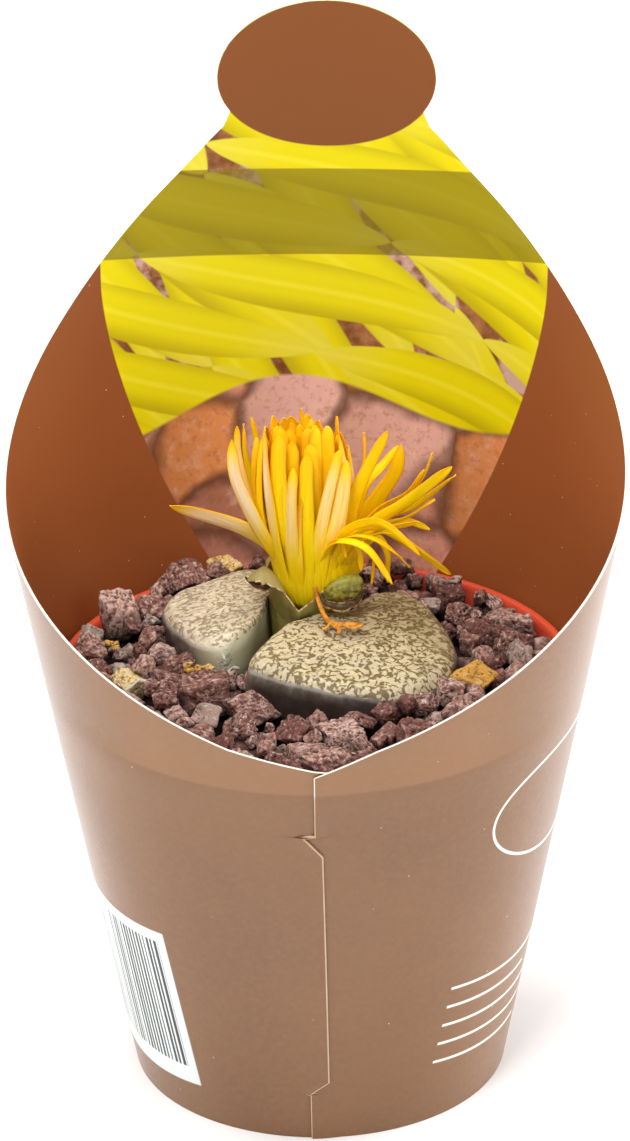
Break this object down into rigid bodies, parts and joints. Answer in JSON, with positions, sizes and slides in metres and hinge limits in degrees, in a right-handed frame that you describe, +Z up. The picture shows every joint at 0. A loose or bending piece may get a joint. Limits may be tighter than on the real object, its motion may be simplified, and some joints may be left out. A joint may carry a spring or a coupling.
{
  "type": "potted lithops plant",
  "caption": "Stone-like leaf pair in yellow flower, in a small round nursery pot with lava gravel, inside a conical card display sleeve with a tall back.",
  "frame": {"origin": "on the pot's axis, on the plane that the pot and the sleeve stand on", "axes": "+Z up along the pot's axis; the sleeve's low front edge faces -Y and its tall header stands at +Y; +X to the viewer's right from the front"},
  "size_m": [0.0762, 0.0809, 0.1245],
  "materials": {
    "printed_card": "satin printed card, brown outside, darker inside with a yellow and tan print",
    "pot_plastic": "moulded red polypropylene, satin",
    "soil": "dark peat and grit, matte",
    "lava_gravel": "pitted purple-brown lava grit, matte",
    "ochre_stone": "ochre pumice, matte",
    "pale_stone": "pale grey pumice, matte",
    "mottled_leaf": "firm waxy skin, cream with olive-brown mottling, grey-green sides",
    "root_bark": "dry papery bark",
    "calyx_green": "fleshy green skin, soft sheen",
    "petal_yellow": "thin silky yellow petal with orange tip",
    "stamen": "powdery yellow",
    "dried_petal": "dry papery orange"
  },
  "bodies": {
    "root": {"calyx_cup": "calyx_green", "display_sleeve": "printed_card", "dried_petal": "dried_petal", "flower_stalk": "calyx_green", "gravel_bed": "lava_gravel", "lava_stone_01": "lava_gravel", "lava_stone_02": "lava_gravel", "lava_stone_03": "lava_gravel", "lava_stone_04": "lava_gravel", "lava_stone_05": "lava_gravel", "lava_stone_06": "lava_gravel", "lava_stone_07": "lava_gravel", "lava_stone_08": "lava_gravel", "lava_stone_09": "lava_gravel", "lava_stone_10": "lava_gravel", "lava_stone_11": "lava_gravel", "lava_stone_12": "lava_gravel", "lava_stone_13": "lava_gravel", "lava_stone_14": "lava_gravel", "lava_stone_15": "lava_gravel", "left_leaf": "mottled_leaf", "nursery_pot": "pot_plastic", "ochre_stone_01": "ochre_stone", "ochre_stone_02": "ochre_stone", "ochre_stone_03": "ochre_stone", "pale_stone_01": "pale_stone", "pale_stone_02": "pale_stone", "petal_01": "petal_yellow", "petal_02": "petal_yellow", "petal_03": "petal_yellow", "petal_04": "petal_yellow", "petal_05": "petal_yellow", "petal_06": "petal_yellow", "petal_07": "petal_yellow", "petal_08": "petal_yellow", "petal_09": "petal_yellow", "petal_10": "petal_yellow", "petal_11": "petal_yellow", "petal_12": "petal_yellow", "petal_13": "petal_yellow", "petal_14": "petal_yellow", "petal_15": "petal_yellow", "petal_16": "petal_yellow", "petal_17": "petal_yellow", "petal_18": "petal_yellow", "petal_19": "petal_yellow", "petal_20": "petal_yellow", "petal_21": "petal_yellow", "plant_base": "root_bark", "potting_soil": "soil", "right_leaf": "mottled_leaf", "sepal_back": "calyx_green", "sepal_back_left": "calyx_green", "sepal_back_right": "calyx_green", "sepal_left": "calyx_green", "sepal_right": "calyx_green", "stamen_tuft": "stamen"}
  },
  "joints": []
}
